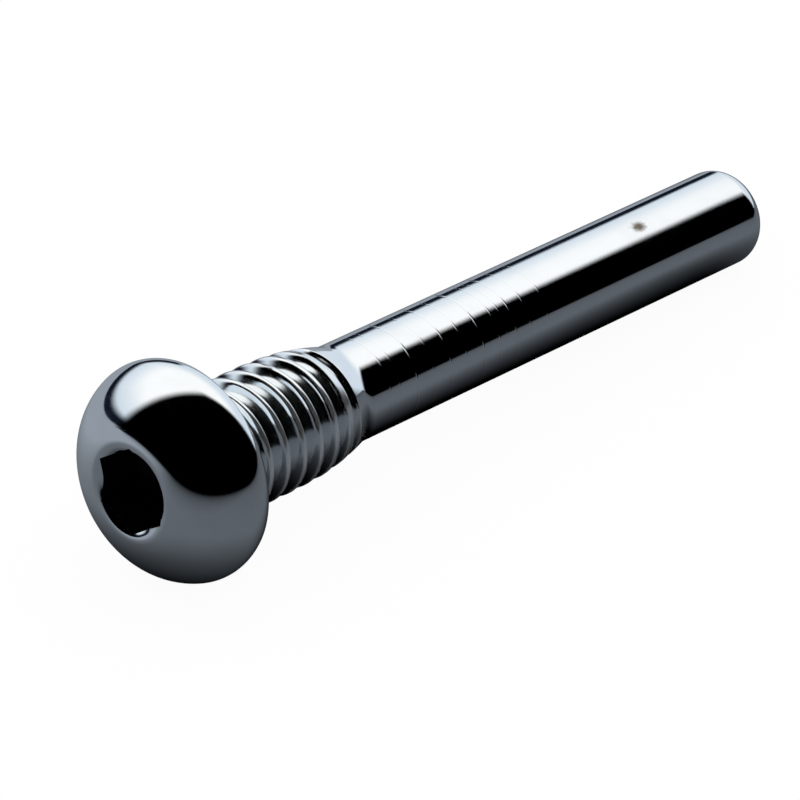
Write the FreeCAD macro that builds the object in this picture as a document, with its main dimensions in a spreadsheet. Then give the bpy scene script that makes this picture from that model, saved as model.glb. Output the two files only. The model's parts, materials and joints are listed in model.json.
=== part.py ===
import FreeCAD, Part
import math
import os
import Sketcher

from FreeCAD import Placement, Rotation, Vector

# A brake pad pin, turned and threaded from one bar: a button head with a hex
# socket, a short coarse thread, a taper where the thread runs out, and a long
# smooth shank that the pads slide on. The body's own Z axis runs from the face
# of the head to the tip. The finished pin lies on its head rim and its tip.

# Driving dimensions, in millimetres and degrees, with what each one measures
DIMENSIONS = [
    ("total_length", 53.6, "face of the head to the end of the tip"),
    ("head_radius", 6.74, "widest radius of the button head"),
    ("head_height", 4.72, "face of the head to its seat"),
    ("face_radius", 3.06, "flat face left in the middle of the dome"),
    ("rim_band", 0.07, "straight band of the rim between the dome and its chamfer"),
    ("seat_chamfer", 0.2, "broken edge of the rim beside the seat"),
    ("thread_radius", 3.97, "crest radius of the thread"),
    ("thread_pitch", 1.411, "distance from crest to crest"),
    ("crest_flat", 0.264, "width of the flat on top of the thread"),
    ("root_flat", 0.2, "width of the flat at the bottom of the groove"),
    ("cutter_proud", 0.08, "how far the thread cutter stands outside the crests"),
    ("thread_start", 2.89, "seat to the middle of the first whole groove"),
    ("lead_in", 0.7, "length along the axis in which the groove reaches its depth"),
    ("full_thread", 8.2, "seat to where the crests begin to fall away"),
    ("shallow_taper", 3.0, "length of the shallow taper over the last crests"),
    ("taper_radius", 3.65, "radius where the shallow taper ends"),
    ("steep_taper", 2.3, "length of the steep taper that ends on the shank"),
    ("shank_radius", 3.075, "radius of the smooth shank"),
    ("tip_rounding", 1.5, "radius of the rounded edge at the tip"),
    ("tip_inset", 0.365, "how far the flat end face stays inside the shank"),
    ("hex_across_flats", 4.76, "key size of the socket"),
    ("socket_depth", 2.9, "face to the bottom of the flats"),
    ("mouth_radius", 2.96, "countersink at the mouth of the socket"),
    ("drill_point_angle", 118, "angle of the drilled cone under the flats"),
    ("lying_angle", -4.2, "turn about its own axis at which the pin came to rest"),
]

doc = FreeCAD.newDocument("brake_pad_pin")

sheet = doc.addObject("Spreadsheet::Sheet", "Dimensions")
for row, (name, value, meaning) in enumerate(DIMENSIONS, start=1):
    sheet.set(f"A{row}", name)
    sheet.set(f"B{row}", str(value))
    sheet.set(f"C{row}", meaning)
    sheet.setAlias(f"B{row}", name)
doc.recompute()


def size(name):
    """The value of one driving dimension."""
    return float(getattr(sheet, name))


body = doc.addObject("PartDesign::Body", "Pin")
body.Label = "brake_pad_pin"


def origin_plane(role):
    """One of the body's own origin planes."""
    return next(f for f in body.Origin.OriginFeatures if f.Role == role)


def new_sketch(name, role):
    """An empty sketch of the body on one of its origin planes."""
    sketch = body.newObject("Sketcher::SketchObject", name)
    sketch.AttachmentSupport = (origin_plane(role), [""])
    sketch.MapMode = "FlatFace"
    return sketch


def bind(sketch, name, expression, *constraint):
    """Add a named constraint to a sketch and tie it to the sheet."""
    index = sketch.addConstraint(Sketcher.Constraint(*constraint))
    sketch.renameConstraint(index, name)
    sketch.setExpression(f"Constraints.{name}", expression)


def line(sketch, start, end):
    """Add a straight line to a sketch."""
    return sketch.addGeometry(Part.LineSegment(Vector(*start), Vector(*end)))


def arc(sketch, centre, radius, start, end):
    """Add an arc that runs counterclockwise from one point to another."""
    first = math.atan2(start[1] - centre[1], start[0] - centre[0])
    last = math.atan2(end[1] - centre[1], end[0] - centre[0])
    circle = Part.Circle(Vector(*centre), Vector(0, 0, 1), radius)
    return sketch.addGeometry(Part.ArcOfCircle(circle, first, last))


# How a sketch numbers the points of an edge, its origin and its axes
START, END, MIDDLE = range(1, 4)
ORIGIN = (-1, 1)
X_AXIS, Y_AXIS = -1, -2


def blank_sketch():
    """Half of the turned blank: X is the radius, Y runs to the tip."""
    sketch = new_sketch("BlankProfile", "XZ_Plane")

    head, seat = size("head_radius"), size("head_height")
    face, band_height = size("face_radius"), size("rim_band")
    edge, length = size("seat_chamfer"), size("total_length")
    crest, shank = size("thread_radius"), size("shank_radius")
    full, taper = seat + size("full_thread"), size("taper_radius")
    shallow, steep = size("shallow_taper"), size("steep_taper")
    tip, tip_face = size("tip_rounding"), shank - size("tip_inset")

    # The dome is the arc from the face that meets the band without a corner
    dome_level = seat - edge - band_height
    dome = ((head - face) ** 2 + dome_level**2) / (2 * (head - face))
    dome_axis = head - dome
    taper_break, taper_end = full + shallow, full + shallow + steep
    tip_axis = shank - tip
    tip_start = length - math.sqrt(tip**2 - (tip_face - tip_axis) ** 2)

    face_line = line(sketch, (0, 0), (face, 0))
    dome_arc = arc(sketch, (dome_axis, dome_level), dome, (face, 0), (head, dome_level))
    band = line(sketch, (head, dome_level), (head, seat - edge))
    edge_line = line(sketch, (head, seat - edge), (head - edge, seat))
    seat_line = line(sketch, (head - edge, seat), (crest, seat))
    crest_line = line(sketch, (crest, seat), (crest, full))
    shallow_line = line(sketch, (crest, full), (taper, taper_break))
    steep_line = line(sketch, (taper, taper_break), (shank, taper_end))
    shank_line = line(sketch, (shank, taper_end), (shank, tip_start))
    tip_arc = arc(sketch, (tip_axis, tip_start), tip, (shank, tip_start), (tip_face, length))
    end_line = line(sketch, (tip_face, length), (0, length))
    axis_line = line(sketch, (0, length), (0, 0))

    # Ends that meet, in order round the outline
    joints = [
        (face_line, END, dome_arc, START),
        (dome_arc, END, band, START),
        (band, END, edge_line, START),
        (edge_line, END, seat_line, START),
        (seat_line, END, crest_line, START),
        (crest_line, END, shallow_line, START),
        (shallow_line, END, steep_line, START),
        (steep_line, END, shank_line, START),
        (shank_line, END, tip_arc, START),
        (tip_arc, END, end_line, START),
        (end_line, END, axis_line, START),
        (axis_line, END, face_line, START),
    ]
    smooth = {(dome_arc, band), (shank_line, tip_arc)}
    for first, first_end, second, second_end in joints:
        kind = "Tangent" if (first, second) in smooth else "Coincident"
        sketch.addConstraint(Sketcher.Constraint(kind, first, first_end, second, second_end))
    sketch.addConstraint(Sketcher.Constraint("Coincident", face_line, START, *ORIGIN))
    for level in (face_line, seat_line, end_line):
        sketch.addConstraint(Sketcher.Constraint("Horizontal", level))
    for upright in (band, crest_line, shank_line, axis_line):
        sketch.addConstraint(Sketcher.Constraint("Vertical", upright))

    bind(sketch, "face", "Dimensions.face_radius", "DistanceX", *ORIGIN, face_line, END, face)
    bind(sketch, "band", "Dimensions.rim_band", "DistanceY", band, START, band, END, band_height)
    bind(sketch, "head", "Dimensions.head_radius", "DistanceX", *ORIGIN, band, END, head)
    chamfer = "Dimensions.seat_chamfer"
    bind(sketch, "edge_in", chamfer, "DistanceX", edge_line, END, edge_line, START, edge)
    bind(sketch, "edge_up", chamfer, "DistanceY", edge_line, START, edge_line, END, edge)
    bind(sketch, "seat", "Dimensions.head_height", "DistanceY", *ORIGIN, seat_line, START, seat)
    bind(sketch, "crest", "Dimensions.thread_radius", "DistanceX", *ORIGIN, crest_line, END, crest)
    heights = [
        ("full", "full_thread", seat_line, END, crest_line, END),
        ("shallow", "shallow_taper", shallow_line, START, shallow_line, END),
        ("steep", "steep_taper", steep_line, START, steep_line, END),
    ]
    for name, dimension, *ends in heights:
        bind(sketch, name, f"Dimensions.{dimension}", "DistanceY", *ends, size(dimension))
    bind(sketch, "taper", "Dimensions.taper_radius", "DistanceX", *ORIGIN, shallow_line, END, taper)
    bind(sketch, "shank", "Dimensions.shank_radius", "DistanceX", *ORIGIN, shank_line, END, shank)
    bind(sketch, "tip", "Dimensions.tip_rounding", "Radius", tip_arc, tip)
    end_face = "Dimensions.shank_radius - Dimensions.tip_inset"
    bind(sketch, "tip_face", end_face, "DistanceX", *ORIGIN, end_line, START, tip_face)
    bind(sketch, "length", "Dimensions.total_length", "DistanceY", *ORIGIN, end_line, START, length)
    return sketch


def socket_sketch():
    """The key's hexagon, with one corner on the body's X axis."""
    sketch = new_sketch("SocketHexagon", "XY_Plane")
    corner_radius = size("hex_across_flats") / math.sqrt(3)

    def corner(number):
        angle = number * math.pi / 3
        return (corner_radius * math.cos(angle), corner_radius * math.sin(angle))

    sides = [line(sketch, corner(n), corner(n + 1)) for n in range(6)]
    ring = sketch.addGeometry(Part.Circle(Vector(0, 0, 0), Vector(0, 0, 1), corner_radius))
    sketch.setConstruction(ring, True)
    for n in range(6):
        following = sides[(n + 1) % 6]
        sketch.addConstraint(Sketcher.Constraint("Coincident", sides[n], END, following, START))
        sketch.addConstraint(Sketcher.Constraint("PointOnObject", sides[n], START, ring))
        if n:
            sketch.addConstraint(Sketcher.Constraint("Equal", sides[0], sides[n]))
    sketch.addConstraint(Sketcher.Constraint("Coincident", ring, MIDDLE, *ORIGIN))
    sketch.addConstraint(Sketcher.Constraint("PointOnObject", sides[0], START, X_AXIS))
    bind(sketch, "corner", "Dimensions.hex_across_flats / sqrt(3)", "Radius", ring, corner_radius)
    return sketch


def cone_sketch(name, radius, level, depth):
    """A right triangle on the axis that turns into a cone pointing into the head."""
    sketch = new_sketch(name, "XZ_Plane")
    base = line(sketch, (0, level), (radius, level))
    slope = line(sketch, (radius, level), (0, level + depth))
    axis = line(sketch, (0, level + depth), (0, level))
    sketch.addConstraint(Sketcher.Constraint("Coincident", base, END, slope, START))
    sketch.addConstraint(Sketcher.Constraint("Coincident", slope, END, axis, START))
    sketch.addConstraint(Sketcher.Constraint("Coincident", axis, END, base, START))
    sketch.addConstraint(Sketcher.Constraint("Horizontal", base))
    sketch.addConstraint(Sketcher.Constraint("Vertical", axis))
    sketch.addConstraint(Sketcher.Constraint("PointOnObject", base, START, Y_AXIS))
    return sketch, base, axis


def mouth_sketch():
    """The countersink at the mouth, as deep as it is wide."""
    radius = size("mouth_radius")
    sketch, base, axis = cone_sketch("MouthCone", radius, 0, radius)
    sketch.addConstraint(Sketcher.Constraint("PointOnObject", base, START, X_AXIS))
    bind(sketch, "mouth", "Dimensions.mouth_radius", "DistanceX", base, START, base, END, radius)
    bind(sketch, "depth", "Dimensions.mouth_radius", "DistanceY", axis, END, axis, START, radius)
    return sketch


def drill_sketch():
    """The cone that the drill left below the flats."""
    radius, level = size("hex_across_flats") / 2, size("socket_depth")
    depth = radius / math.tan(math.radians(size("drill_point_angle") / 2))
    sketch, base, axis = cone_sketch("DrillPoint", radius, level, depth)
    bind(sketch, "drill", "Dimensions.hex_across_flats / 2", "DistanceX", base, START, base, END, radius)
    bind(sketch, "level", "Dimensions.socket_depth", "DistanceY", *ORIGIN, base, START, level)
    point = "Dimensions.hex_across_flats / 2 / tan(Dimensions.drill_point_angle * 0.5 deg)"
    bind(sketch, "depth", point, "DistanceY", axis, END, axis, START, depth)
    return sketch


# The flanks stand at 60 degrees to each other, so the pitch and the flats set the depth
GROOVE_WIDTH = "Dimensions.thread_pitch - Dimensions.crest_flat"
THREAD_DEPTH = f"({GROOVE_WIDTH} - Dimensions.root_flat) / 2 / tan(30 deg)"


def groove_sketch():
    """The cutter of the thread: a blunt V, a little taller than the groove."""
    sketch = new_sketch("ThreadGroove", "XZ_Plane")
    flank = math.tan(math.radians(30))
    depth = (size("thread_pitch") - size("crest_flat") - size("root_flat")) / 2 / flank
    outer = size("thread_radius") + size("cutter_proud")
    root = size("thread_radius") - depth
    level = size("head_height") + size("thread_start")
    narrow = size("root_flat") / 2
    wide = narrow + (outer - root) * flank

    bottom = line(sketch, (root, level + narrow), (root, level - narrow))
    lower = line(sketch, (root, level - narrow), (outer, level - wide))
    top = line(sketch, (outer, level - wide), (outer, level + wide))
    upper = line(sketch, (outer, level + wide), (root, level + narrow))
    middle = line(sketch, (root, level), (outer, level))
    sketch.setConstruction(middle, True)
    ring = [bottom, lower, top, upper]
    for first, second in zip(ring, ring[1:] + ring[:1]):
        sketch.addConstraint(Sketcher.Constraint("Coincident", first, END, second, START))
    for upright in (bottom, top):
        sketch.addConstraint(Sketcher.Constraint("Vertical", upright))
    sketch.addConstraint(Sketcher.Constraint("Horizontal", middle))
    sketch.addConstraint(Sketcher.Constraint("Symmetric", bottom, START, bottom, END, middle, START))
    sketch.addConstraint(Sketcher.Constraint("Symmetric", top, START, top, END, middle, END))

    proud = "Dimensions.thread_radius + Dimensions.cutter_proud"
    width = f"{GROOVE_WIDTH} + 2 * tan(30 deg) * Dimensions.cutter_proud"
    place = "Dimensions.head_height + Dimensions.thread_start"
    inner = f"Dimensions.thread_radius - {THREAD_DEPTH}"
    bind(sketch, "root", inner, "DistanceX", *ORIGIN, middle, START, root)
    bind(sketch, "outer", proud, "DistanceX", *ORIGIN, middle, END, outer)
    bind(sketch, "place", place, "DistanceY", *ORIGIN, middle, START, level)
    bind(sketch, "flat", "Dimensions.root_flat", "DistanceY", bottom, END, bottom, START, 2 * narrow)
    bind(sketch, "width", width, "DistanceY", top, START, top, END, 2 * wide)
    return sketch


def volume_after(feature, before, adds=False):
    """Recompute, and stop if a feature failed or left the volume as it was."""
    doc.recompute()
    volume = feature.Shape.Volume
    worked = volume > before if adds else before > volume > 0
    if "Invalid" in feature.State or not worked:
        raise RuntimeError(f"{feature.Name} did not work: {before:.3f} to {volume:.3f}")
    print(f"{feature.Name}: {volume:.3f} mm3")
    return volume


def turned(kind, name, sketch):
    """Turn a profile on the pin's axis, to add metal or to take it away."""
    feature = body.newObject(kind, name)
    feature.Profile = sketch
    feature.ReferenceAxis = (sketch, ["V_Axis"])
    feature.Angle = 360
    return feature


blank = turned("PartDesign::Revolution", "Blank", blank_sketch())
volume = volume_after(blank, 0, adds=True)


def threaded(name, profile, to_the_tip, length, cone_angle):
    """Cut a right-hand groove from the profile's place towards the tip or the head."""
    feature = body.newObject("PartDesign::SubtractiveHelix", name)
    feature.Profile = profile
    feature.ReferenceAxis = (profile, ["V_Axis"])
    feature.Mode = "pitch-height-angle"
    feature.LeftHanded = False
    feature.Reversed = not to_the_tip
    feature.setExpression("Pitch", "Dimensions.thread_pitch")
    feature.setExpression("Height", length)
    feature.setExpression("Angle", cone_angle)
    return feature


# The groove goes on at one depth until the falling crests have run out in it
tapers = "Dimensions.shallow_taper + Dimensions.steep_taper"
groove_length = f"Dimensions.full_thread + {tapers} - Dimensions.thread_start"
groove_profile = groove_sketch()
groove = threaded("Thread", groove_profile, True, groove_length, "0 deg")
volume = volume_after(groove, volume)

# Beside the head the same cutter comes in from outside the crests
cutter_travel = f"{THREAD_DEPTH} + Dimensions.cutter_proud"
lead_in_angle = f"atan(({cutter_travel}) / Dimensions.lead_in)"
lead_in = threaded("ThreadLeadIn", groove_profile, False, "Dimensions.lead_in", lead_in_angle)
volume = volume_after(lead_in, volume)

socket = body.newObject("PartDesign::Pocket", "Socket")
socket.Profile = socket_sketch()
socket.Reversed = True
socket.setExpression("Length", "Dimensions.socket_depth")
volume = volume_after(socket, volume)

drill_point = turned("PartDesign::Groove", "DrillCone", drill_sketch())
volume = volume_after(drill_point, volume)

mouth = turned("PartDesign::Groove", "Mouth", mouth_sketch())
volume = volume_after(mouth, volume)

# The pin lies on the rim of its head and on the edge of its tip
drop = size("head_radius") - size("shank_radius")
rim_level = size("head_height") - size("seat_chamfer")
tip_offset = size("tip_rounding") - size("tip_inset")
tip_level = size("total_length") - math.sqrt(size("tip_rounding") ** 2 - tip_offset**2)
tilt = math.degrees(math.atan2(drop, tip_level - rim_level))
lying = Rotation(Vector(0, 1, 0), 90 + tilt) * Rotation(Vector(0, 0, 1), size("lying_angle"))
body.Placement = Placement(Vector(0, 0, 0), lying)
doc.recompute()
box = body.Shape.optimalBoundingBox(False)
body.Placement = Placement(Vector(-(box.XMin + box.XMax) / 2, 0, -box.ZMin), lying)
doc.recompute()

for item in doc.Objects:
    if {"Invalid", "Error"} & set(item.State):
        raise RuntimeError(f"{item.Name} failed: {item.State}")

os.makedirs("parts", exist_ok=True)
for part in [body]:
    shape = part.Shape
    if shape.isNull() or not shape.isValid() or len(shape.Solids) != 1:
        raise RuntimeError(f"{part.Label} is not one valid solid")
    shape.exportStep(f"parts/{part.Label}.step")
    print(f"{part.Label}: volume {shape.Volume:.3f} mm3, tilt {tilt:.4f}, face at {part.Placement.Base}")
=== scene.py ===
"""The looks of a brake pad pin: its turned and threaded surface, its chrome, and a small studio."""

import json
import math

import bmesh
import bpy
from bpy.props import FloatProperty, FloatVectorProperty, IntProperty, PointerProperty
from mathutils import Matrix, Vector


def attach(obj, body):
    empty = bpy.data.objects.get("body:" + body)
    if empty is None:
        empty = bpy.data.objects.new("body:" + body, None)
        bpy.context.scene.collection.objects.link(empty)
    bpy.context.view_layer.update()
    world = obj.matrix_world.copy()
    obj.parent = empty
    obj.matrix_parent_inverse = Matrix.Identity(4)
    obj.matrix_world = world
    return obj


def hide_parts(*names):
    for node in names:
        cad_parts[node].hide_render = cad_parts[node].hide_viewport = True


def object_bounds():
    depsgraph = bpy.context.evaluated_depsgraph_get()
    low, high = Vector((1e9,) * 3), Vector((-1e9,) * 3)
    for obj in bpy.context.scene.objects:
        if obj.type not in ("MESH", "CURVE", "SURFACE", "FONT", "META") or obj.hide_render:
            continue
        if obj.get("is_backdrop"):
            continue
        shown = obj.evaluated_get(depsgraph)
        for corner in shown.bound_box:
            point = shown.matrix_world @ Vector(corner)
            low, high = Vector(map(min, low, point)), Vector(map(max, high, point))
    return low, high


bl_info = {
    "name": "Brake Pad Pin",
    "version": (1, 0, 0),
    "blender": (4, 5, 0),
    "location": "View3D > Sidebar > Pin",
    "description": "Builds the pin's surface and chrome, a studio and a camera round its frame",
    "category": "Add Mesh",
}

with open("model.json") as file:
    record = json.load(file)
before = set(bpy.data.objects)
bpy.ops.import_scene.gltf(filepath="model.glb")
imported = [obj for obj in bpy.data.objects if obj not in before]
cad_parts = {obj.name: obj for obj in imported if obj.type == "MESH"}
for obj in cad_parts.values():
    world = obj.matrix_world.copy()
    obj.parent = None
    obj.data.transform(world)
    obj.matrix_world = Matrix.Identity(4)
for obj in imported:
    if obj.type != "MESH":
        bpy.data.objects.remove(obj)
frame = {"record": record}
cad_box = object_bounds()
MM = 0.001
MOUNTS = {mount["name"]: mount for mount in frame["record"]["mounts"]}
NODE = "brake_pad_pin"

# How many rows of faces each stretch of the pin's outline has
DOME_ROWS = 48
RIM_ROWS = 20
MOUTH_ROWS = 6
MARK_ROWS = 8
PLAIN_ROWS = 8
TIP_ROWS = 16

# The rings that close a round end, as shares of its radius
CONE_RINGS = (0.5, 0.1)
TIP_RINGS = (0.98, 0.5, 0.1)

# The narrow band beside the seat, and the gaps that the bridges to the thread's ends close
NECK_EDGE = 0.1 * MM
JOIN_GAP = 0.05 * MM

# The thread's mesh starts this many pitches before the first whole groove,
# and goes on past the run-out by this many times the run-out's ease
NECK_TURNS = 1.5
EASE_SPARE = 5

# Vertices nearer to each other than this share of a row become one; cuts have a slack in metres
WELD_SHARE = 0.02
CUT_SLACK = 1e-8

# How much a flank of the thread moves along the axis for each step outwards
FLANK_SLOPE = math.tan(math.radians(30))

# Edges that fold by more than this are shaded as sharp
SHARP_ANGLE = math.radians(32)

# The broad turning lines are this many times as wide as the fine ones
BROAD_LINES = 9

# Where a mask of the plating begins and where it is whole: values of a noise, and of the spot
CLOUD_TARNISH, LINE_TARNISH = (0.45, 0.75), (0.5, 0.9)
CLOUD_HAZE, LINE_HAZE = (0.35, 0.8), (0.4, 0.9)
SPOT_FADE = (1.25, 0.25)
# Millimetres inside the mouth's circle and under its surface
MOUTH_WITHIN, MOUTH_BELOW = (0.05, 0.1), (0.01, 0.05)
# Millimetres under the crests, and lengths over which the thread's masks fade at its ends
CREST_BELOW, GROOVE_BELOW = (0.1, 0.03), (0.08, 0.4)
THREAD_FADE_IN, THREAD_FADE_OUT = 0.5, 1
# Millimetres of the shank's skin that the rust may lie on, and of its soft edge
SKIN = 0.05
SKIN_FADE = (0, 0.02)

# The cards that the plating mirrors start just under the horizon, each a little behind the last
CARD_FOOT = math.radians(-1)
CARD_STEP = 0.1
CARD_ROWS, CARD_COLUMNS = 48, 96


def length(label, meaning, millimetres):
    """A property that holds a length, given in millimetres and kept in metres."""
    return FloatProperty(
        name=label, description=meaning, default=millimetres * MM, unit="LENGTH", precision=6
    )


def share(label, meaning, value):
    """A property that holds a share from 0 to 1."""
    return FloatProperty(name=label, description=meaning, default=value, min=0, max=1)


def colour(label, meaning, *value):
    """A property that holds a linear colour."""
    return FloatVectorProperty(
        name=label, description=meaning, default=value, subtype="COLOR", min=0, max=1
    )


def degrees(label, meaning, value):
    """A property that holds an angle, given in degrees and kept in radians."""
    return FloatProperty(
        name=label, description=meaning, default=math.radians(value), subtype="ANGLE"
    )


class PinSizes(bpy.types.PropertyGroup):
    """The pin's own sizes, along an axis that runs from the face of its head to its tip."""

    total_length: length("Length", "Face of the head to the end of the tip", 53.6)
    head_radius: length("Head", "Widest radius of the button head", 6.74)
    head_height: length("Head height", "Face of the head to its seat", 4.72)
    face_radius: length("Face", "Flat left in the middle of the dome", 3.06)
    rim_level: length("Rim level", "Where the dome alone would be widest", 4.45)
    rim_round: length("Rim round", "Radius of the rounded rim between the dome and the seat", 2.0)
    rim_spare: length("Rim spare", "How far the dome alone would reach past the rim", 0.1)
    seat_edge: length("Seat edge", "Narrow faces that keep the seat's two edges crisp", 0.1)
    thread_radius: length("Thread", "Crest radius", MOUNTS["thread"]["dims"]["r_mm"])
    thread_pitch: length("Pitch", "Distance from crest to crest", 1.411)
    crest_flat: length("Crest flat", "Width of the flat on top of the thread", 0.264)
    root_flat: length("Root flat", "Width of the flat at the bottom of the groove", 0.2)
    thread_start: length("Thread start", "Seat to the first whole groove", 2.65)
    lead_in: length("Lead-in", "Length in which the groove reaches its depth", 0.7)
    thread_end: length("Thread end", "Seat to where the groove has faded out", 12.2)
    lead_out: length("Lead-out", "Length in which the groove fades out", 0.8)
    full_thread: length("Full thread", "Seat to where the crests begin to fall", 6.8)
    runout_radius: length("Run-out", "Radius of the curve that the crests fall along", 20)
    runout_ease: length("Run-out ease", "How softly the run-out joins the shank", 0.1)
    runout_skew: length("Run-out skew", "How much sooner the run-out ends on one side", 0.45)
    skew_angle: degrees("Skew angle", "Turn of that side from the lowest line", 235)
    crest_round: length("Crest round", "How softly the crests and roots are rounded", 0.11)
    shank_radius: length("Shank", "Radius of the shank", MOUNTS["shank"]["dims"]["r_mm"])
    tip_rounding: length("Tip rounding", "Radius of the rounded edge at the tip", 1.5)
    tip_inset: length("Tip inset", "How far the end face stays inside the shank", 0.365)
    across_flats: length("Across flats", "Key size of the socket", 4.76)
    socket_depth: length("Socket depth", "Face to the bottom of the flats", 2.9)
    mouth_radius: length("Mouth", "Circle of the rounded mouth of the socket", 2.96)
    mouth_angle: degrees("Mouth angle", "How steeply the rounded mouth leaves the face", 12)
    flats_angle: degrees("Flats angle", "How steep the mouth is where it meets a flat", 48)
    drill_angle: degrees("Drill point", "Angle of the drilled cone under the flats", 118)
    lying_angle: degrees("Lying angle", "Turn about its own axis as the pin lies", -4.2)
    columns: IntProperty(name="Columns", description="Faces round the pin", default=192, min=48)
    rows: IntProperty(name="Rows", description="Faces along one pitch", default=26, min=8)


class ChromeLook(bpy.types.PropertyGroup):
    """The plating, its fine turning lines, its tarnish and the spot of rust."""

    plate: colour("Plate", "Colour of the plating", 0.96, 0.985, 0.995)
    # The socket's dull metal, its colour darkened almost to black as painted shade in the recess
    socket: colour("Socket", "Colour of the dull bare metal in the socket", 0.03, 0.03, 0.035)
    groove_haze: share("Groove haze", "Roughness that the thread's grooves add", 0.07)
    crest_haze: share("Crest haze", "Roughness that the thread's worn crests add", 0.1)
    crest_wear: share("Crest wear", "How much of the worn crests is dull grey", 0.05)
    haze: share("Haze", "Roughness of clean plating", 0.035)
    haze_spread: share("Haze spread", "How much the roughness varies", 0.05)
    rust: colour("Rust", "Colour of the rust spot", 0.16, 0.13, 0.095)
    line_spacing: length("Line spacing", "Distance between fine turning lines", 0.11)
    line_depth: length("Line depth", "Depth of the fine turning lines", 0.0004)
    spot_place: length("Spot place", "Face of the head to the rust spot", 43.42)
    spot_angle: degrees("Spot angle", "Turn of the rust spot from the lowest line", 200.2)
    spot_length: length("Spot length", "Half length of the rust spot", 0.62)
    spot_width: length("Spot width", "Half width of the rust spot", 0.44)
    spot_grain: FloatProperty(name="Spot grain", description="Unevenness of the spot's edge", default=1.2)
    rust_haze: share("Rust haze", "Roughness that the rust adds", 0.6)
    rust_matt: share("Rust matt", "How far the rust takes the metal's shine away", 0.95)
    rust_rise: FloatProperty(name="Rust rise", description="Height of the rust's grains", default=2)
    socket_haze: share("Socket haze", "Roughness that the bare metal in the socket adds", 0.45)
    tarnish_clouds: share("Tarnish clouds", "Strength of the tarnish in clouds", 0.1)
    tarnish_lines: share("Tarnish lines", "Strength of the tarnish in turning lines", 0.05)
    tarnish_tone: share("Tarnish tone", "Brightness of full tarnish beside the plating", 0.6)
    fine_rise: share("Fine rise", "Height of the fine lines beside the broad ones", 0.35)


class StudioSizes(bpy.types.PropertyGroup):
    """The white floor, the glowing grey mat with its painted shadow and painted light, and the dark cards
    that the plating mirrors.
    """

    floor_size: length("Floor", "Side of the floor", 8000)
    floor_drop: length("Floor drop", "How far the floor lies under the pin", 0.02)
    shadow: share("Shadow", "Strength of the shadow on the floor", 0.05)
    # The mat glows with this colour in reflections alone; the pin's shadow, its darkening far off and its
    # pale side are painted on it
    mat: colour("Mat", "Colour of the mat that the plating mirrors", 0.114, 0.1275, 0.146)
    mat_shade: length("Mat shade", "How far from its axis the pin shades the mat", 13.5)
    mat_core: length("Mat core", "How far from the pin's axis the mat is black", 1.5)
    mat_core_end: length("Mat core's end", "How far inside the pin's ends that core stops", 5)
    mat_dark_start: length("Mat's dark start", "Distance along -X at which the mat grows dark", 45)
    mat_dark_end: length("Mat's dark end", "Distance along -X at which the mat is black", 165)
    mat_half: length("Mat's half", "Distance along -Y at which the mat is half as bright", 220)
    # Painted light: the mat is paler towards +Y, where the pin leaves it unshaded
    mat_light_side: length("Mat's light side", "Distance along +Y at which the mat is palest", 38)
    mat_lighter: FloatProperty(
        name="Mat lighter", description="How many times paler the mat is there", default=2.5
    )
    mat_far_turn: share("Mat's far turn", "How far the dark end reaches round beyond the pin", 0.9)
    mat_near_turn: share("Mat's near turn", "How far it reaches round before the pin", 0.28)
    mat_fall: FloatProperty(name="Mat's fall", description="How fast the mat darkens", default=1.5)
    flag_radius: length("Flag", "Radius of the dark flag round the camera side", 3000)
    flag_azimuth: degrees("Flag azimuth", "Direction of the flag's middle, from +X to +Y", 236)
    flag_height: degrees("Flag height", "Height of the flag's middle over the horizon", -6)
    flag_edge: degrees("Flag edge", "Angle from the flag's middle to its edge", 106.5)
    flag_blur: degrees("Flag blur", "Half width of the flag's soft edge", 5)
    strip: colour("Strip", "Colour of the dark strip on the horizon", 0.005, 0.008, 0.016)
    strip_height: degrees("Strip height", "Height of the dark strip on the horizon", 14.5)
    strip_blur: degrees("Strip blur", "Half width of the strip's soft edge", 4.5)
    strip_whole: degrees("Strip whole", "Angle from +Y up to which the strip is whole", 49)
    strip_end: degrees("Strip end", "Angle from +Y at which the strip has faded out", 54)
    strip_foot: degrees("Strip foot", "Height from which the strip is dark on its narrow side", 2)
    strip_fall: degrees("Strip fall", "How much lower the strip is on its narrow side", 2.5)
    strip_foot_blur: degrees("Strip foot blur", "Half width of that foot's soft edge", 0.75)
    strip_wide: degrees("Strip wide", "Angle from +X up to which the strip is wide", 50)
    strip_narrow: degrees("Strip narrow", "Angle from +X at which it is narrow", 65)
    haze: colour("Haze", "Colour of the haze over the strip", 0.05, 0.27, 0.5)
    haze_start: degrees("Haze start", "Height at which the haze is thickest", 14)
    haze_height: degrees("Haze height", "Height at which the room is fully white", 46)
    haze_cover: share("Haze cover", "How much of the room the haze covers at most", 0.36)


class CameraView(bpy.types.PropertyGroup):
    """Where the photograph was taken from."""

    azimuth: degrees("Azimuth", "Direction of view, 0 along +Y and 90 along -X", -47.63)
    elevation: degrees("Elevation", "Height of the camera above the horizon", 31.25)
    distance: length("Distance", "Camera to the face of the head, along the view", 335.47)
    across: length("Across", "Camera to the right of the face of the head", 15.42)
    above: length("Above", "Camera above the face of the head", 5.273)
    lens: FloatProperty(name="Lens", description="Focal length", default=265.1, unit="CAMERA")
    sensor: FloatProperty(name="Sensor", description="Width of the sensor", default=36)
    nearest: length("Nearest", "Distance from which the camera sees", 10)
    farthest: length("Farthest", "Distance up to which the camera sees", 20000)


def pin_matrix(sizes):
    """From the pin's own axes, with Z from its face to its tip, to the frame in which it lies."""
    face = Vector(MOUNTS["hex_socket"]["pos_m"])
    axis = -Vector(MOUNTS["hex_socket"]["axis"])
    lying = Matrix.Rotation(math.acos(axis.z), 4, "Y")
    own_turn = Matrix.Rotation(sizes.lying_angle, 4, "Z")
    return Matrix.Translation(face) @ lying @ own_turn


def loop_verts(loop):
    """The vertices of a loop of edges."""
    return list({vert for edge in loop for vert in edge.verts})


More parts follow.
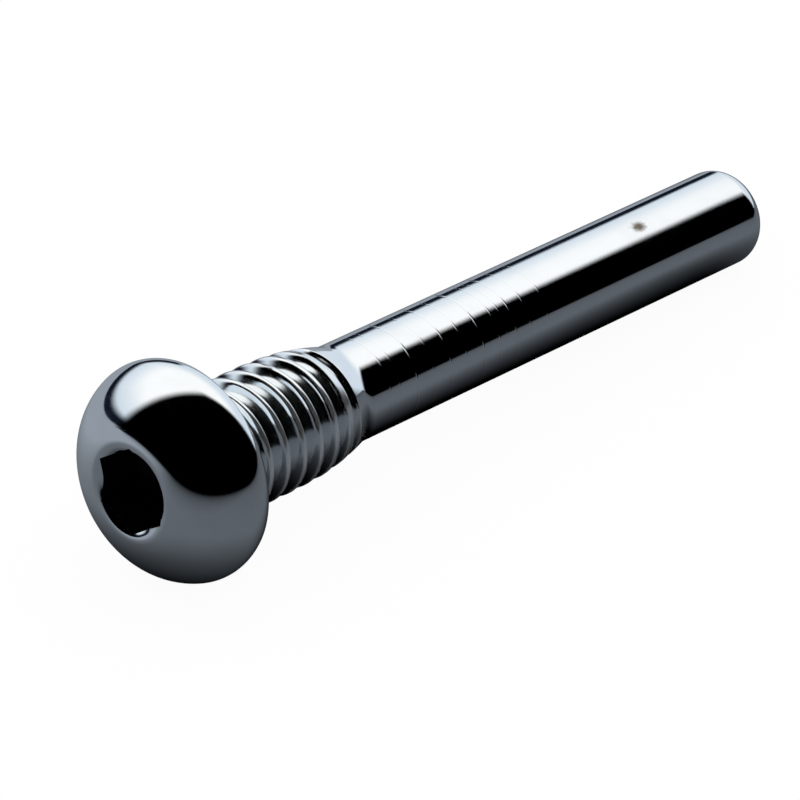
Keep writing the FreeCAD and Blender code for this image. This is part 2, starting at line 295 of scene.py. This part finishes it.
def new_loop(geometry):
    """The edges between the vertices that an extrusion has just made."""
    verts = {item for item in geometry if isinstance(item, bmesh.types.BMVert)}
    edges = {edge for vert in verts for edge in vert.link_edges}
    return [edge for edge in edges if edge.verts[0] in verts and edge.verts[1] in verts]


def place(loop, radius, level):
    """Move a loop's vertices to a radius and a level, each a number or a rule of the angle."""
    for vert in loop_verts(loop):
        angle = math.atan2(vert.co.y, vert.co.x)
        reach = radius(angle) if callable(radius) else radius
        height = level(angle) if callable(level) else level
        vert.co = (reach * math.cos(angle), reach * math.sin(angle), height)


def extend(bm, loop, radius, level):
    """Extrude a loop of edges to a new radius and level, and give the new loop."""
    made = bmesh.ops.extrude_edge_only(bm, edges=loop)
    loop = new_loop(made["geom"])
    place(loop, radius, level)
    return loop


def arc_points(centre, radius, first, last, steps):
    """Points of an arc in the half plane of radius and level, without the first."""
    for step in range(1, steps + 1):
        angle = first + (last - first) * step / steps
        yield centre[0] + radius * math.cos(angle), centre[1] + radius * math.sin(angle)


def head_points(sizes):
    """The button's dome from its flat face, its rounded rim, and the seat."""
    reach = sizes.head_radius + sizes.rim_spare
    drop = reach - sizes.face_radius
    radius = (drop**2 + sizes.rim_level**2) / (2 * drop)
    inner = radius - sizes.rim_round
    turn = math.acos(1 - sizes.rim_spare / inner)
    first = math.asin(-sizes.rim_level / radius)
    yield from arc_points((reach - radius, sizes.rim_level), radius, first, -turn, DOME_ROWS)

    centre = (sizes.head_radius - sizes.rim_round, sizes.rim_level - inner * math.sin(turn))
    last = math.asin((sizes.head_height - centre[1]) / sizes.rim_round)
    yield from arc_points(centre, sizes.rim_round, -turn, last, RIM_ROWS)
    yield centre[0] + sizes.rim_round * math.cos(last) - sizes.seat_edge, sizes.head_height
    yield sizes.thread_radius + sizes.seat_edge, sizes.head_height
    yield sizes.thread_radius, sizes.head_height


def key_radius(sizes):
    """The rule that gives the hexagon's radius at an angle, with a corner on the X axis."""

    def radius(angle):
        off_flat = (angle % (math.pi / 3)) - math.pi / 6
        return sizes.across_flats / 2 / math.cos(off_flat)

    return radius


def mouth_level(sizes, inwards, unit=1):
    """How deep the rounded mouth is at a distance inside its circle, both in the same unit."""
    widest = (sizes.mouth_radius - sizes.across_flats / 2) / unit
    first, last = math.tan(sizes.mouth_angle), math.tan(sizes.flats_angle)
    return inwards * first + (inwards / widest) ** 2.0 * inwards * ((last - first) / 3)


def mouth_ring(sizes, flats, inwards):
    """The rules of a ring of the mouth, from its circle at 0 to the hexagon at 1."""

    def radius(angle):
        return sizes.mouth_radius + (flats(angle) - sizes.mouth_radius) * inwards

    def level(angle):
        return mouth_level(sizes, sizes.mouth_radius - radius(angle))

    return radius, level


def make_socket(bm, face_loop, sizes):
    """The rounded mouth, the six flats and the drilled cone, inwards from the face."""
    flats = key_radius(sizes)
    edge = (sizes.face_radius - sizes.mouth_radius) / 3
    loop = extend(bm, face_loop, sizes.mouth_radius + edge, 0)
    loop = extend(bm, loop, sizes.mouth_radius, 0)
    for row in range(1, MOUTH_ROWS + 1):
        loop = extend(bm, loop, *mouth_ring(sizes, flats, row / MOUTH_ROWS))
    loop = extend(bm, loop, flats, sizes.socket_depth)
    bore = sizes.across_flats / 2
    loop = extend(bm, loop, bore, sizes.socket_depth)
    depth = bore / math.tan(sizes.drill_angle / 2)
    for part in CONE_RINGS:
        loop = extend(bm, loop, bore * part, sizes.socket_depth + depth * (1 - part))
    close(bm, loop, sizes.socket_depth + depth)


def close(bm, loop, level):
    """Close a round loop in a point on the axis."""
    loop = extend(bm, loop, 0, level)
    verts = loop_verts(loop)
    bmesh.ops.pointmerge(bm, verts=verts, merge_co=(0, 0, level))


def soft_least(first, second, softness):
    """The smaller of two numbers, with a rounded change from one to the other."""
    gap = max(softness - abs(first - second), 0) / softness
    return min(first, second) - gap * gap * softness / 4


def smooth_step(value):
    """Zero below 0, one above 1, and a smooth rise between."""
    value = min(max(value, 0), 1)
    return value * value * (3 - 2 * value)


def runout_length(sizes):
    """Length of the run-out, to where its curve meets the shank."""
    drop = sizes.thread_radius - sizes.shank_radius
    return math.sqrt(2 * sizes.runout_radius * drop - drop**2)


def crest_envelope(sizes, level, angle):
    """The radius that the crests reach: full, then falling along a curve into the shank."""
    past = max(level - sizes.head_height - sizes.full_thread, 0)
    sooner = sizes.runout_skew * math.cos(angle - sizes.skew_angle)
    past += sooner * smooth_step(past / runout_length(sizes))
    under = sizes.runout_radius**2 - max(past, 0) ** 2
    return sizes.thread_radius - sizes.runout_radius + math.sqrt(max(under, 0))


def groove_radius(sizes, offset):
    """Radius of the thread at a distance from the middle of its groove."""
    opening = sizes.thread_pitch - sizes.crest_flat - sizes.root_flat
    root = sizes.thread_radius - opening / 2 / FLANK_SLOPE
    flank = root + max(abs(offset) - sizes.root_flat / 2, 0) / FLANK_SLOPE
    crest = soft_least(flank, sizes.thread_radius, sizes.crest_round)
    return -soft_least(-crest, -root - sizes.crest_round / 4, sizes.crest_round)


def thread_span(sizes):
    """Where the spun thread starts on the neck and where it ends on the shank."""
    start = sizes.head_height + sizes.thread_start - NECK_TURNS * sizes.thread_pitch
    end = sizes.head_height + sizes.full_thread + runout_length(sizes)
    return start, end + sizes.runout_skew + EASE_SPARE * sizes.runout_ease


def thread_outline(bm, sizes, start, end):
    """A many-toothed line beside the axis, at least one pitch longer than the thread each way."""
    pitch, step = sizes.thread_pitch, sizes.thread_pitch / sizes.rows
    first_groove = sizes.head_height + sizes.thread_start
    below = math.ceil((first_groove - start) / pitch) + 1
    above = math.ceil((end - first_groove) / pitch) + 1
    outline = []
    for row in range((below + above) * sizes.rows + 1):
        offset = (row % sizes.rows) * step
        offset -= pitch if offset > pitch / 2 else 0
        level = first_groove - below * pitch + row * step
        outline.append(bm.verts.new((groove_radius(sizes, offset), 0, level)))
    return outline + [bm.edges.new(pair) for pair in zip(outline, outline[1:])]


def trim(bm, start, end):
    """Cut the mesh off square at a lower and an upper level."""
    for level, keep_above in ((start, True), (end, False)):
        geometry = bm.verts[:] + bm.edges[:] + bm.faces[:]
        bmesh.ops.bisect_plane(
            bm, geom=geometry, dist=CUT_SLACK, plane_co=(0, 0, level), plane_no=(0, 0, 1),
            clear_inner=keep_above, clear_outer=not keep_above,
        )


def make_thread(bm, sizes, start, end):
    """Spin the outline one whole turn while it climbs one pitch, trim it, and fade its ends."""
    bmesh.ops.spin(
        bm, geom=thread_outline(bm, sizes, start, end), cent=(0, 0, 0), axis=(0, 0, 1),
        dvec=(0, 0, sizes.thread_pitch / sizes.columns), angle=math.tau, steps=sizes.columns,
        use_merge=False, use_duplicate=False,
    )
    weld = WELD_SHARE * sizes.thread_pitch / sizes.rows
    bmesh.ops.remove_doubles(bm, verts=bm.verts[:], dist=weld)
    trim(bm, start, end)
    faded_from = sizes.head_height + sizes.thread_start - sizes.lead_in
    faded_to = sizes.head_height + sizes.thread_end
    for vert in bm.verts:
        depth = smooth_step((vert.co.z - faded_from) / sizes.lead_in)
        depth *= smooth_step((faded_to - vert.co.z) / sizes.lead_out)
        reach = sizes.thread_radius + (vert.co.xy.length - sizes.thread_radius) * depth
        limit = crest_envelope(sizes, vert.co.z, math.atan2(vert.co.y, vert.co.x))
        if limit < sizes.thread_radius:
            reach = soft_least(reach, limit, sizes.crest_round)
            reach = -soft_least(-reach, -sizes.shank_radius, sizes.runout_ease)
        vert.co.xy = vert.co.xy.normalized() * reach


def rim_loop(bm, level):
    """The open loop of edges at one level."""
    near = 1e-6
    return [
        edge for edge in bm.edges
        if edge.is_boundary and all(abs(vert.co.z - level) < near for vert in edge.verts)
    ]


# Turning marks on the shank, from the face of the head in millimetres: place, width and depth
TURNING_MARKS = [
    (18.9, 0.14, 0.004),
    (19.7, 0.14, 0.003),
    (21.2, 0.15, 0.008),
    (22.7, 0.14, 0.003),
    (24.2, 0.15, 0.006),
    (25.6, 0.14, 0.004),
    (27.15, 0.15, 0.008),
    (28.6, 0.14, 0.004),
    (29.3, 0.13, 0.003),
    (30.1, 0.15, 0.006),
    (31.4, 0.14, 0.004),
    (33.0, 0.14, 0.003),
]


def shank_points(sizes):
    """The shank from the run-out to the tip, with its turning marks, and the rounded edge."""
    radius = sizes.shank_radius
    for place_mm, width_mm, depth_mm in TURNING_MARKS:
        for row in range(-1, MARK_ROWS + 2):
            along = row / MARK_ROWS
            cut = depth_mm * MM * (0.5 - 0.5 * math.cos(math.tau * min(max(along, 0), 1)))
            yield radius - cut, (place_mm + (along - 0.5) * width_mm) * MM
    last = (TURNING_MARKS[-1][0] + TURNING_MARKS[-1][1]) * MM
    tip, inset = sizes.tip_rounding, sizes.tip_inset
    sweep = math.acos((tip - inset) / tip)
    tip_start = sizes.total_length - tip * math.sin(sweep)
    for row in range(1, PLAIN_ROWS + 1):
        yield radius, last + (tip_start - last) * row / PLAIN_ROWS
    yield from arc_points((radius - tip, tip_start), tip, 0, sweep, TIP_ROWS)


def circle(bm, sizes, radius):
    """A loop of edges round the axis, at the level of the face."""
    return new_loop(bmesh.ops.create_circle(bm, segments=sizes.columns, radius=radius)["verts"])


def make_head(bm, neck, sizes, thread_from):
    """The dome, the rim, the seat and the neck, bridged to the thread, and the socket."""
    face_loop = circle(bm, sizes, sizes.face_radius)
    loop = face_loop
    for radius, level in head_points(sizes):
        loop = extend(bm, loop, radius, level)
    loop = extend(bm, loop, sizes.thread_radius, sizes.head_height + NECK_EDGE)
    loop = extend(bm, loop, sizes.thread_radius, thread_from - JOIN_GAP)
    bmesh.ops.bridge_loops(bm, edges=loop + neck)
    make_socket(bm, face_loop, sizes)


def make_shank(bm, end, sizes, thread_to):
    """The shank, bridged to the thread, with its marks, its rounded edge and its end face."""
    loop = circle(bm, sizes, sizes.shank_radius)
    place(loop, sizes.shank_radius, thread_to + JOIN_GAP)
    bmesh.ops.bridge_loops(bm, edges=loop + end)
    for radius, level in shank_points(sizes):
        loop = extend(bm, loop, radius, level)
    for part in TIP_RINGS:
        loop = extend(bm, loop, (sizes.shank_radius - sizes.tip_inset) * part, sizes.total_length)
    close(bm, loop, sizes.total_length)


class PIN_OT_build_pin(bpy.types.Operator):
    """Build the pin's surface: head, socket, thread, run-out, shank and tip"""

    bl_idname = "pin.build_pin"
    bl_label = "Build pin"

    def execute(self, context):
        sizes = context.scene.pin_sizes
        bm = bmesh.new()
        thread_from, thread_to = thread_span(sizes)
        make_thread(bm, sizes, thread_from, thread_to)
        neck, end = rim_loop(bm, thread_from), rim_loop(bm, thread_to)
        make_head(bm, neck, sizes, thread_from)
        make_shank(bm, end, sizes, thread_to)
        bmesh.ops.recalc_face_normals(bm, faces=bm.faces[:])
        bm.transform(pin_matrix(sizes))
        mesh = bpy.data.meshes.new("pin")
        bm.to_mesh(mesh)
        bm.free()
        mesh.shade_smooth()
        mesh.set_sharp_from_angle(angle=SHARP_ANGLE)
        pin = bpy.data.objects.new("pin", mesh)
        context.scene.collection.objects.link(pin)
        mesh.materials.append(chrome(context.scene.pin_chrome, sizes))
        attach(pin, "root")
        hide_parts(NODE)
        return {"FINISHED"}


class Value:
    """A shader socket that can be used in sums, so that a formula adds its own Math nodes."""

    def __init__(self, tree, socket):
        self.tree = tree
        self.socket = socket

    def math(self, operation, *others):
        """The result of a Math node on this value and others, each a value or a number."""
        node = self.tree.nodes.new("ShaderNodeMath")
        node.operation = operation
        for number, item in enumerate((self, *others)):
            if isinstance(item, Value):
                self.tree.links.new(item.socket, node.inputs[number])
            else:
                node.inputs[number].default_value = item
        return Value(self.tree, node.outputs[0])

    def constant(self, number):
        """A number as a value, for the reflected operators."""
        node = self.tree.nodes.new("ShaderNodeValue")
        node.outputs[0].default_value = number
        return Value(self.tree, node.outputs[0])

    def __add__(self, other):
        return self.math("ADD", other)

    __radd__ = __add__

    def __sub__(self, other):
        return self.math("SUBTRACT", other)

    def __rsub__(self, other):
        return self.constant(other).math("SUBTRACT", self)

    def __mul__(self, other):
        return self.math("MULTIPLY", other)

    __rmul__ = __mul__

    def __truediv__(self, other):
        return self.math("DIVIDE", other)

    def __rtruediv__(self, other):
        return self.constant(other).math("DIVIDE", self)

    def __pow__(self, other):
        return self.math("POWER", other)

    def absolute(self):
        return self.math("ABSOLUTE")

    def least(self, other):
        return self.math("MINIMUM", other)

    def most(self, other):
        return self.math("MAXIMUM", other)

    def ramp(self, low, high):
        """Zero at low, one at high and a smooth rise between; high may be the smaller."""
        node = self.tree.nodes.new("ShaderNodeMapRange")
        node.interpolation_type = "SMOOTHSTEP"
        self.tree.links.new(self.socket, node.inputs["Value"])
        turned = low > high
        node.inputs["From Min"].default_value = min(low, high)
        node.inputs["From Max"].default_value = max(low, high)
        node.inputs["To Min"].default_value = 1 if turned else 0
        node.inputs["To Max"].default_value = 0 if turned else 1
        return Value(self.tree, node.outputs["Result"])


class Shader:
    """A material or world whose nodes are made in few words."""

    def __init__(self, owner):
        owner.use_nodes = True
        self.tree = owner.node_tree
        self.tree.nodes.clear()

    def node(self, kind, settings=None, **sockets):
        """A node, with its settings first and then the values or links of its sockets."""
        made = self.tree.nodes.new(kind)
        for name, value in (settings or {}).items():
            setattr(made, name, value)
        for name, value in sockets.items():
            self.feed(made.inputs[name.replace("_", " ")], value)
        return made

    def feed(self, socket, value):
        """Set a socket to a value, or link it to a formula or to another socket."""
        if isinstance(value, Value):
            self.tree.links.new(value.socket, socket)
        elif isinstance(value, bpy.types.NodeSocket):
            self.tree.links.new(value, socket)
        else:
            socket.default_value = value

    def value(self, socket):
        """A socket of this shader as a value."""
        return Value(self.tree, socket)

    def noise(self, point, scale, detail, roughness):
        """A noise of 0 to 1 at a point in millimetres, with its scale in waves per millimetre."""
        made = self.node(
            "ShaderNodeTexNoise", {"noise_dimensions": "3D"},
            Vector=point, Scale=scale, Detail=detail, Roughness=roughness,
        )
        return self.value(made.outputs["Fac"])

    def blend(self, amount, first, second):
        """A colour that goes from the first to the second with the amount."""
        node = self.tree.nodes.new("ShaderNodeMix")
        node.data_type = "RGBA"
        for index, item in ((0, amount), (6, first), (7, second)):
            self.feed(node.inputs[index], item)
        return node.outputs[2]


def pin_point(shader, sizes):
    """The shaded point on the pin's own axes in millimetres: as a vector, and in its parts."""
    whole = pin_matrix(sizes)
    point = shader.node(
        "ShaderNodeMapping", {"vector_type": "TEXTURE"},
        Vector=shader.node("ShaderNodeTexCoord").outputs["Object"],
        Location=whole.to_translation(), Rotation=whole.to_euler("XYZ"), Scale=(MM, MM, MM),
    ).outputs["Vector"]
    parts = shader.node("ShaderNodeSeparateXYZ", Vector=point)
    return point, [shader.value(parts.outputs[name]) for name in "XYZ"]


def rust_mask(look, sizes, parts, radius, grains):
    """One on the rust spot, an uneven oval on the shank."""
    across, aside, along = parts
    angle = look.spot_angle - sizes.lying_angle
    shank = sizes.shank_radius / MM
    spot = (shank * math.cos(angle), shank * math.sin(angle))
    sideways = (aside - spot[1]) * math.cos(angle) - (across - spot[0]) * math.sin(angle)
    lengthways = along - look.spot_place / MM
    oval = (
        (sideways / (look.spot_width / MM)) ** 2.0 + (lengthways / (look.spot_length / MM)) ** 2.0
    ) ** 0.5
    outside = (radius - (shank - SKIN)).ramp(*SKIN_FADE)
    facing = (across * math.cos(angle) + aside * math.sin(angle)).ramp(0, 1)
    return (oval + (grains - 0.5) * look.spot_grain).ramp(*SPOT_FADE) * outside * facing


def socket_mask(sizes, along, radius):
    """One on the flats and the drilled bottom of the socket, deeper than its rounded mouth, where the
    metal is made dull and its colour darkened as painted shade.
    """
    within = sizes.mouth_radius / MM - radius
    return within.ramp(*MOUTH_WITHIN) * (along - mouth_level(sizes, within, MM)).ramp(*MOUTH_BELOW)


def thread_masks(sizes, along, radius):
    """One on the thread's crests, and one deep in its grooves."""
    past = (along - (sizes.head_height + sizes.full_thread) / MM).most(0)
    curve = sizes.runout_radius / MM
    envelope = (curve**2 - past * past).most(0) ** 0.5 + (sizes.thread_radius / MM - curve)
    below = envelope.most(sizes.shank_radius / MM) - radius
    start, end = sizes.head_height / MM, (sizes.head_height + sizes.thread_end) / MM
    threaded = along.ramp(start, start + THREAD_FADE_IN) * along.ramp(end, end - THREAD_FADE_OUT)
    return threaded * below.ramp(*CREST_BELOW), threaded * below.ramp(*GROOVE_BELOW)


def chrome(look, sizes):
    """Bright plating with turning lines round the pin's axis, haze and one spot of rust."""
    material = bpy.data.materials.new("chrome")
    shader = Shader(material)
    point, parts = pin_point(shader, sizes)
    across, aside, along = parts
    radius = (across * across + aside * aside) ** 0.5

    # Lines that go round the axis: along the shank they follow its length, on the ends its radius
    outward = shader.node("ShaderNodeCombineXYZ", X=radius, Y=0.0, Z=along).outputs["Vector"]
    scale = 1 / (look.line_spacing / MM)
    fine_lines = shader.noise(outward, scale=scale, detail=4.0, roughness=0.65)
    broad_lines = shader.noise(outward, scale=scale / BROAD_LINES, detail=2.0, roughness=0.5)
    clouds = shader.noise(point, scale=0.35, detail=5.0, roughness=0.6)
    grains = shader.noise(point, scale=6.0, detail=4.0, roughness=0.7)

    rust = rust_mask(look, sizes, parts, radius, grains)
    inside = socket_mask(sizes, along, radius)
    crests, grooves = thread_masks(sizes, along, radius)

    tarnish = clouds.ramp(*CLOUD_TARNISH) * look.tarnish_clouds
    tarnish += fine_lines.ramp(*LINE_TARNISH) * look.tarnish_lines
    tarnished = (*(part * look.tarnish_tone for part in look.plate), 1)
    tone = shader.blend(tarnish, (*look.plate, 1), tarnished)
    tone = shader.blend(rust, tone, (*look.rust, 1))
    # Painted shade: the socket's recess is darkened almost to black
    tone = shader.blend(inside, tone, (*look.socket, 1))

    haze = (clouds.ramp(*CLOUD_HAZE) + fine_lines.ramp(*LINE_HAZE)) * look.haze_spread
    haze += grooves * look.groove_haze + crests * look.crest_haze + look.haze
    height = fine_lines * look.fine_rise + broad_lines + grains * rust * look.rust_rise
    bump = shader.node("ShaderNodeBump", Strength=1.0, Distance=look.line_depth, Height=height)
    surface = shader.node(
        "ShaderNodeBsdfPrincipled", Base_Color=tone,
        Metallic=1.0 - rust * look.rust_matt - crests * look.crest_wear,
        Roughness=haze + rust * look.rust_haze + inside * look.socket_haze,
        Normal=bump.outputs["Normal"],
    )
    shader.node("ShaderNodeOutputMaterial", Surface=surface.outputs[0])
    return material


def add_object(context, name, mesh):
    made = bpy.data.objects.new(name, mesh)
    context.scene.collection.objects.link(made)
    made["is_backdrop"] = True
    return made


def only_mirrored(item):
    """Let an object show in reflections alone: it is no light, no shadow and no backdrop."""
    item.visible_camera = False
    item.visible_diffuse = False
    item.visible_transmission = False
    item.visible_volume_scatter = False
    item.visible_shadow = False


def square(name, side, level):
    """A square mesh that lies flat at a level."""
    bm = bmesh.new()
    bmesh.ops.create_grid(bm, x_segments=1, y_segments=1, size=side / 2)
    bmesh.ops.translate(bm, verts=bm.verts[:], vec=(0, 0, level))
    mesh = bpy.data.meshes.new(name)
    bm.to_mesh(mesh)
    bm.free()
    return mesh


def dome(name, radius, low):
    """A mesh dome whose rim is at an angle of height, spun from an arc that ends at its top."""
    bm = bmesh.new()
    arc = []
    for row in range(CARD_ROWS + 1):
        height = low + (math.pi / 2 - low) * row / CARD_ROWS
        arc.append(bm.verts.new((radius * math.cos(height), 0, radius * math.sin(height))))
    edges = [bm.edges.new(pair) for pair in zip(arc, arc[1:])]
    bmesh.ops.spin(
        bm, geom=arc + edges, cent=(0, 0, 0), axis=(0, 0, 1), dvec=(0, 0, 0),
        angle=math.tau, steps=CARD_COLUMNS, use_merge=True, use_duplicate=False,
    )
    mesh = bpy.data.meshes.new(name)
    bm.to_mesh(mesh)
    bm.free()
    return mesh


def towards(azimuth, height):
    """The direction with a compass angle, from +X to +Y, and a height over the horizon."""
    level = math.cos(height)
    return Vector((level * math.cos(azimuth), level * math.sin(azimuth), math.sin(height)))


def angle_from(shader, middle):
    """The angle, seen from the pin, between a point of a card and a direction."""
    point = shader.node("ShaderNodeTexCoord").outputs["Object"]
    unit = shader.node("ShaderNodeVectorMath", {"operation": "NORMALIZE"})
    shader.feed(unit.inputs[0], point)
    dot = shader.node("ShaderNodeVectorMath", {"operation": "DOT_PRODUCT"})
    shader.feed(dot.inputs[0], unit.outputs["Vector"])
    shader.feed(dot.inputs[1], tuple(middle))
    return shader.value(dot.outputs["Value"]).math("ARCCOSINE")


def card_material(name, tone, cover):
    """A dark card whose cover fades it out to the white behind it, both rules of its shader."""
    material = bpy.data.materials.new(name)
    shader = Shader(material)
    black = shader.node("ShaderNodeEmission", Color=tone(shader), Strength=1.0)
    clear = shader.node("ShaderNodeBsdfTransparent")
    mixed = shader.node("ShaderNodeMixShader")
    shader.feed(mixed.inputs[0], cover(shader))
    shader.feed(mixed.inputs[1], clear.outputs[0])
    shader.feed(mixed.inputs[2], black.outputs[0])
    shader.node("ShaderNodeOutputMaterial", Surface=mixed.outputs[0])
    return material


def floor_material(studio):
    """White to the camera and in mirrors, with the pin's shadow left in faintly."""
    material = bpy.data.materials.new("floor_white")
    shader = Shader(material)
    white = shader.node("ShaderNodeEmission", Color=(1, 1, 1, 1), Strength=1.0)
    matt = shader.node("ShaderNodeBsdfDiffuse", Color=(1, 1, 1, 1))
    path = shader.node("ShaderNodeLightPath")
    seen = shader.value(path.outputs["Is Camera Ray"])
    seen = seen.most(shader.value(path.outputs["Is Glossy Ray"]))
    seen = seen.most(shader.value(path.outputs["Is Transmission Ray"]))
    mixed = shader.node("ShaderNodeMixShader")
    shader.feed(mixed.inputs[0], seen * (1 - studio.shadow))
    shader.feed(mixed.inputs[1], matt.outputs[0])
    shader.feed(mixed.inputs[2], white.outputs[0])
    shader.node("ShaderNodeOutputMaterial", Surface=mixed.outputs[0])
    return material


def mat_painted_light_and_shade_material(studio):
    """The grey mat under the pin, a sheet that glows in reflections alone: a painted shadow of the pin
    beside it, painted darkening to black far off and painted light on the white side.
    """
    material = bpy.data.materials.new("mat_painted_light_and_shade")
    shader = Shader(material)
    point = shader.node("ShaderNodeTexCoord").outputs["Object"]
    parts = shader.node("ShaderNodeSeparateXYZ", Vector=point)
    east, north = (shader.value(parts.outputs[name]) for name in "XY")
    # Painted shadow of the pin: black near its axis, full brightness away from it
    past_end = (east.absolute() - (cad_box[1].x - studio.mat_core_end)).most(0)
    painted_pin_shadow = ((past_end * past_end + north * north) ** 0.5).ramp(studio.mat_core, studio.mat_shade)
    # The painted darkening far off reaches further round on the near side than on the far one
    turned = north.most(0) * studio.mat_far_turn + north.least(0) * studio.mat_near_turn
    west = (east + turned) * -1
    far = 1 - (west - studio.mat_dark_start) / (studio.mat_dark_end - studio.mat_dark_start)
    far = far.most(0).least(1) ** studio.mat_fall
    # Painted darkening towards -Y as well
    near = 1 / (1 - north.least(0) / studio.mat_half)
    # Painted light: paler on the +Y side, away from the pin's painted shadow
    lighter = north.ramp(studio.mat_core * 2, studio.mat_light_side) * (studio.mat_lighter - 1) + 1
    tone = painted_pin_shadow * far * near * lighter
    # The mat glows with the painted shade and light, though it is no lamp
    painted_glow = shader.node("ShaderNodeEmission", Color=(*studio.mat, 1), Strength=tone)
    shader.node("ShaderNodeOutputMaterial", Surface=painted_glow.outputs[0])
    return material


class PIN_OT_build_studio(bpy.types.Operator):
    """Build the white floor, the room light and the dark cards that the plating mirrors"""

    bl_idname = "pin.build_studio"
    bl_label = "Build studio"

    def execute(self, context):
        studio = context.scene.pin_studio
        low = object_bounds()[0].z - studio.floor_drop
        floor = add_object(context, "floor", square("floor", studio.floor_size, low))
        floor.data.materials.append(floor_material(studio))
        # The mat glows in reflections alone, with painted shade and painted light
        mat_level = low + studio.floor_drop / 4
        mat = add_object(context, "mat", square("mat", studio.floor_size, mat_level))
        mat.data.materials.append(mat_painted_light_and_shade_material(studio))

        cards = (
            ("flag", "flag_black", plain((0, 0, 0)), flag_cover(studio)),
            ("strip", "strip_dark", strip_tone(studio), strip_cover(studio)),
            ("haze", "haze_blue", plain(studio.haze), haze_cover(studio)),
        )
        for number, (name, finish, tone, cover) in enumerate(cards):
            radius = studio.flag_radius * (1 + CARD_STEP * number)
            card = add_object(context, name, dome(name, radius, CARD_FOOT))
            card.data.materials.append(card_material(finish, tone, cover))
            only_mirrored(card)
        only_mirrored(mat)

        world = bpy.data.worlds.new("room")
        context.scene.world = world
        shader = Shader(world)
        white = shader.node("ShaderNodeBackground", Color=(1, 1, 1, 1), Strength=1.0)
        shader.node("ShaderNodeOutputWorld", Surface=white.outputs[0])
        context.scene.view_settings.view_transform = "Standard"
        return {"FINISHED"}


def flag_cover(studio):
    """The flag's rule: black up to an angle from its middle, with a soft edge."""

    def cover(shader):
        off = angle_from(shader, towards(studio.flag_azimuth, studio.flag_height))
        return off.ramp(studio.flag_edge + studio.flag_blur, studio.flag_edge - studio.flag_blur)

    return cover


def plain(tone):
    """The rule of a card that has one colour."""
    return lambda shader: (*tone, 1)


def height_over(shader):
    """The height over the horizon of a point of a card, seen from the pin."""
    return math.pi / 2 - angle_from(shader, Vector((0, 0, 1)))


def narrow_side(shader, studio):
    """Zero towards +X and one well to its side, where the strip is narrow."""
    return angle_from(shader, Vector((1, 0, 0))).ramp(studio.strip_wide, studio.strip_narrow)


def strip_cover(studio):
    """The strip's rule: on the far side, whole low down, with a soft upper edge."""

    def cover(shader):
        up = height_over(shader) + narrow_side(shader, studio) * studio.strip_fall
        top, blur = studio.strip_height, studio.strip_blur
        beyond = angle_from(shader, Vector((0, 1, 0))).ramp(studio.strip_end, studio.strip_whole)
        return up.ramp(top + blur, top - blur) * beyond

    return cover


def strip_tone(studio):
    """The strip's colour: as the far mat's painted light at its foot on the narrow side, and dark above.
    """

    def tone(shader):
        up = height_over(shader) - narrow_side(shader, studio) * studio.strip_foot
        # The strip's pale foot copies the mat's painted light
        pale = (*(part * studio.mat_lighter for part in studio.mat), 1)
        dark = up.ramp(-studio.strip_foot_blur, studio.strip_foot_blur)
        return shader.blend(dark, pale, (*studio.strip, 1))

    return tone


def haze_cover(studio):
    """The haze's rule: thickest low down, and gone where the room is fully white."""

    def cover(shader):
        return height_over(shader).ramp(studio.haze_height, studio.haze_start) * studio.haze_cover

    return cover


class PIN_OT_place_camera(bpy.types.Operator):
    """Set up the camera at the photograph's viewing angle"""

    bl_idname = "pin.place_camera"
    bl_label = "Place camera"

    def execute(self, context):
        view = context.scene.pin_camera
        turn = Matrix.Rotation(view.azimuth, 3, "Z")
        tilt = Matrix.Rotation(math.radians(90) - view.elevation, 3, "X")
        facing = turn @ tilt
        right, up, back = facing.col
        data = bpy.data.cameras.new("camera")
        data.lens = view.lens
        data.sensor_width = view.sensor
        data.clip_start, data.clip_end = view.nearest, view.farthest
        camera = bpy.data.objects.new("camera", data)
        context.scene.collection.objects.link(camera)
        face = Vector(MOUNTS["hex_socket"]["pos_m"])
        camera.location = face + right * view.across + up * view.above + back * view.distance
        camera.rotation_euler = facing.to_euler()
        context.scene.camera = camera
        return {"FINISHED"}


class PIN_PT_panel(bpy.types.Panel):
    """The buttons and sizes of the pin in the 3D view's sidebar"""

    bl_idname = "PIN_PT_panel"
    bl_label = "Brake pad pin"
    bl_space_type = "VIEW_3D"
    bl_region_type = "UI"
    bl_category = "Pin"

    def draw(self, context):
        scene = context.scene
        for operator in OPERATORS:
            self.layout.operator(operator.bl_idname)
        for name in GROUPS:
            box = self.layout.box()
            for prop in getattr(scene, name).bl_rna.properties:
                if not prop.is_readonly:
                    box.prop(getattr(scene, name), prop.identifier)


GROUPS = {
    "pin_sizes": PinSizes,
    "pin_chrome": ChromeLook,
    "pin_studio": StudioSizes,
    "pin_camera": CameraView,
}
OPERATORS = (PIN_OT_build_pin, PIN_OT_build_studio, PIN_OT_place_camera)


def register():
    """Add the classes and the scene's settings."""
    for item in (*GROUPS.values(), *OPERATORS, PIN_PT_panel):
        bpy.utils.register_class(item)
    for name, group in GROUPS.items():
        setattr(bpy.types.Scene, name, PointerProperty(type=group))


def unregister():
    """Take the settings and the classes away again."""
    for name in GROUPS:
        delattr(bpy.types.Scene, name)
    for item in (PIN_PT_panel, *reversed(OPERATORS), *reversed(GROUPS.values())):
        bpy.utils.unregister_class(item)


def main():
    """Register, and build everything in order."""
    register()
    bpy.ops.pin.build_pin()
    bpy.ops.pin.build_studio()
    bpy.ops.pin.place_camera()


if __name__ == "__main__":
    main()
